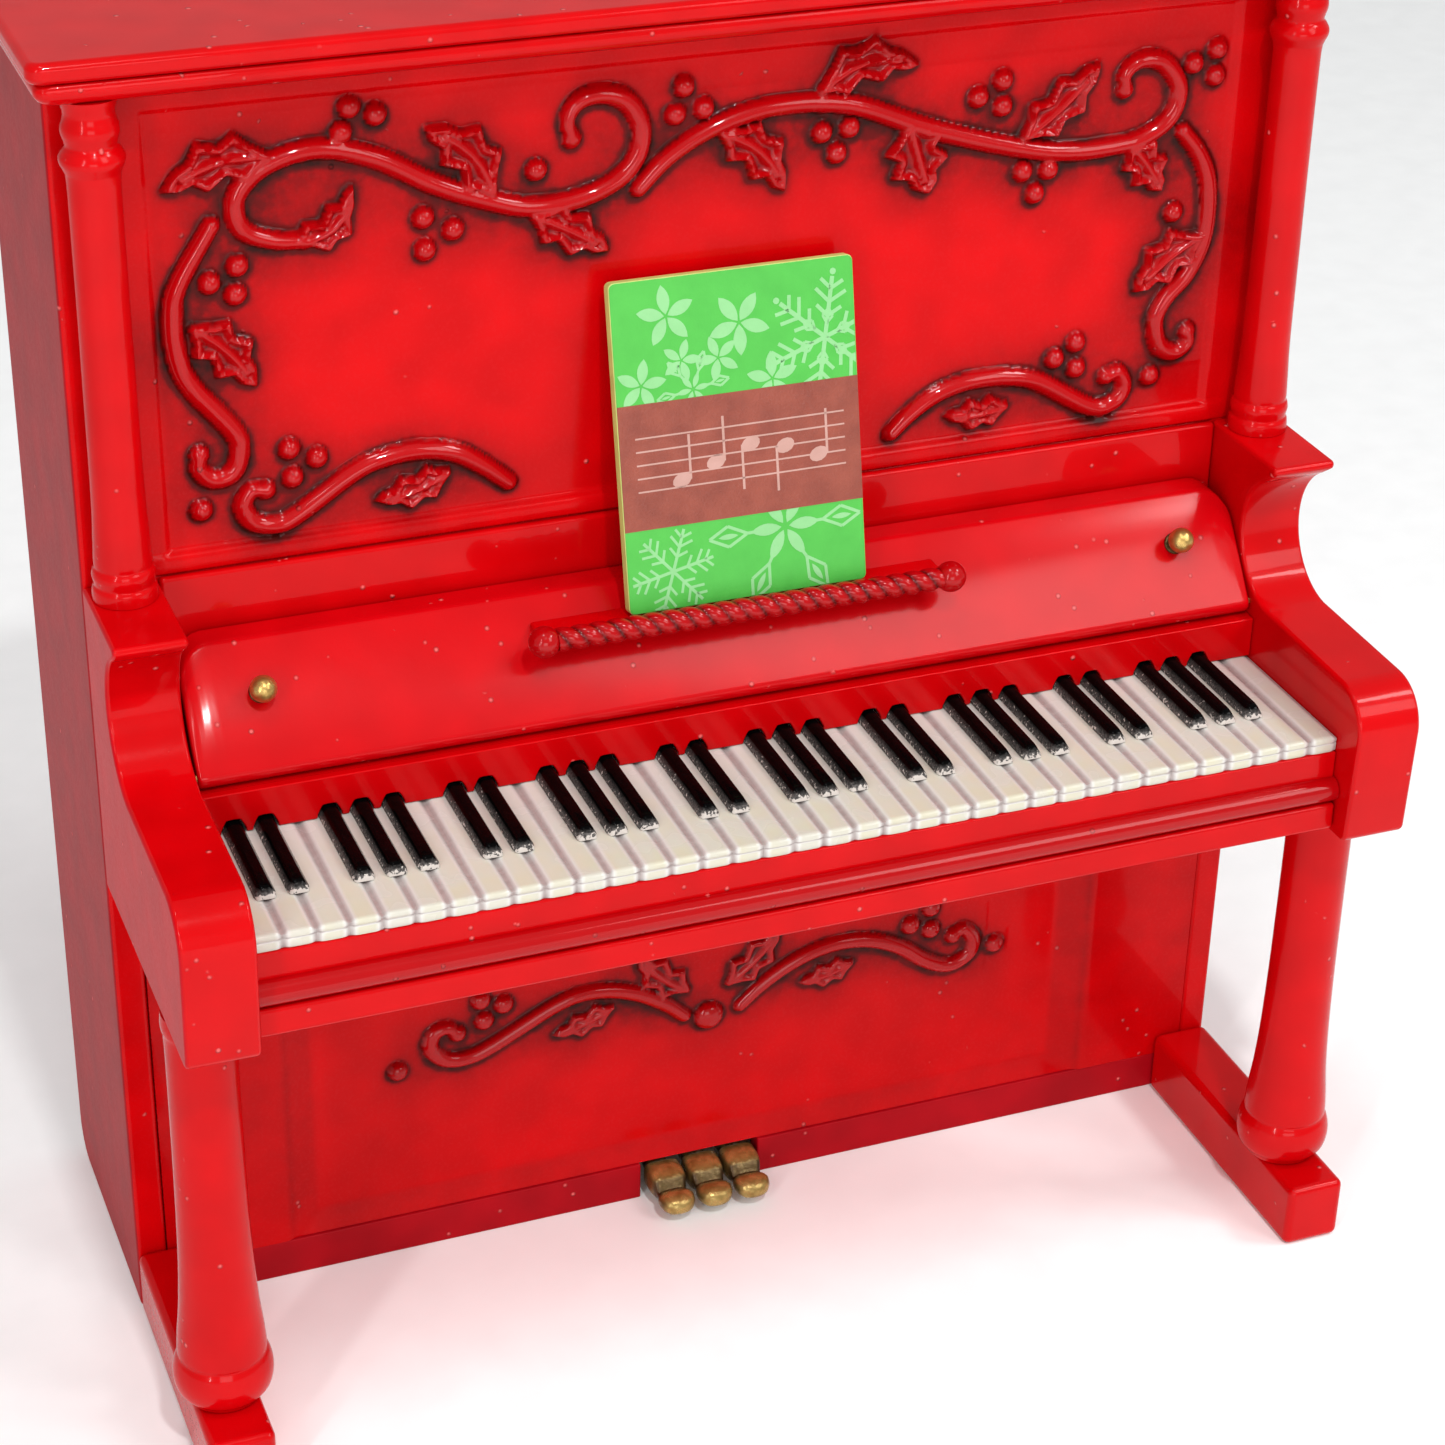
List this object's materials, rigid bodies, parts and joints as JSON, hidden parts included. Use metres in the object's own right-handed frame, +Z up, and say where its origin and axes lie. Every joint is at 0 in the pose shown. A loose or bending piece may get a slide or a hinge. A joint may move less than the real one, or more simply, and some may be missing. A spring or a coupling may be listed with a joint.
{
  "type": "miniature upright piano",
  "caption": "Dolls' house upright piano in glossy red with turned legs and columns, hinged lid, folding fallboard, keyboard, music rest and pedals.",
  "frame": {"origin": "middle of the footprint on the floor", "axes": "+X to the player's right, +Y to the piano's back, +Z up"},
  "size_m": [0.124, 0.0632, 0.131],
  "materials": {
    "red_gloss": "thick glossy red paint on wood, soft rounded edges",
    "red_panel": "satin red paint, slightly darker, fine grain",
    "aged_brass": "cast brass with brown wash in the hollows",
    "key_ivory": "cream paint with mauve-grey shading in the grooves",
    "key_black": "glossy black paint",
    "printed_card": "satin printed card"
  },
  "bodies": {
    "case": {"side_panel_left": "red_gloss", "side_panel_right": "red_gloss", "back_panel": "red_gloss", "lower_stile_left": "red_gloss", "lower_stile_right": "red_gloss", "bottom_rail_left": "red_gloss", "bottom_rail_right": "red_gloss", "front_rail": "red_gloss", "ledge_board": "red_gloss", "upper_bottom_rail": "red_gloss", "upper_stile_left": "red_gloss", "upper_stile_right": "red_gloss", "upper_rail": "red_gloss", "cornice": "red_gloss", "column_left": "red_gloss", "column_right": "red_gloss", "arm_left": "red_gloss", "arm_right": "red_gloss", "leg_left": "red_gloss", "leg_right": "red_gloss", "toe_block_left": "red_gloss", "toe_block_right": "red_gloss", "keybed": "red_gloss", "key_block": "red_gloss", "keybed_moulding": "red_gloss", "nameboard": "red_gloss", "upper_scroll_left": "red_gloss", "upper_scroll_right": "red_gloss", "upper_stem_left": "red_gloss", "upper_stem_right": "red_gloss", "upper_trail_left": "red_gloss", "upper_trail_right": "red_gloss", "lower_scroll_left": "red_gloss", "lower_scroll_right": "red_gloss", "lower_rosette": "red_gloss", "upper_panel": "red_panel", "lower_panel": "red_panel", "bottom_board": "red_panel", "pedal_rod": "aged_brass", "pedal_bracket_left": "aged_brass", "pedal_bracket_right": "aged_brass", "lid_hinge_case_left": "aged_brass", "lid_hinge_case_right": "aged_brass", "white_keys": "key_ivory", "black_keys": "key_black"},
    "lid": {"top_lid": "red_gloss", "lid_hinge_leaf_left": "aged_brass", "lid_hinge_leaf_right": "aged_brass"},
    "fallboard": {"fallboard": "red_gloss", "fallboard_knob_left": "aged_brass", "fallboard_knob_right": "aged_brass", "fallboard_pin_left": "aged_brass", "fallboard_pin_right": "aged_brass", "music_shelf": "red_gloss", "twisted_rod": "red_gloss"},
    "songbook": {"songbook": "printed_card"},
    "pedal_left": {"pedal_left": "aged_brass"},
    "pedal_middle": {"pedal_middle": "aged_brass"},
    "pedal_right": {"pedal_right": "aged_brass"}
  },
  "joints": [
    {"name": "lid_hinge", "type": "hinge", "parent": "case", "child": "lid", "pos_m": [0, 0.03112, 0.12905], "axis": [-1, 0, 0], "range_deg": [0, 100]},
    {"name": "fallboard_hinge", "type": "hinge", "parent": "case", "child": "fallboard", "pos_m": [0, -0.00932, 0.066], "axis": [1, 0, 0], "range_deg": [0, 105]},
    {"name": "songbook_lift", "type": "slide", "parent": "fallboard", "child": "songbook", "axis": [0, 0, 1], "range_m": [0, 0.02]},
    {"name": "pedal_left_hinge", "type": "hinge", "parent": "case", "child": "pedal_left", "pos_m": [-0.0042, 0.00728, 0.0023], "axis": [1, 0, 0], "range_deg": [0, 4], "stiffness_Nm_per_rad": 0.002, "springref_deg": -5.73},
    {"name": "pedal_middle_hinge", "type": "hinge", "parent": "case", "child": "pedal_middle", "pos_m": [0, 0.00728, 0.0023], "axis": [1, 0, 0], "range_deg": [0, 4], "stiffness_Nm_per_rad": 0.002, "springref_deg": -5.73},
    {"name": "pedal_right_hinge", "type": "hinge", "parent": "case", "child": "pedal_right", "pos_m": [0.0042, 0.00728, 0.0023], "axis": [1, 0, 0], "range_deg": [0, 4], "stiffness_Nm_per_rad": 0.002, "springref_deg": -5.73}
  ]
}
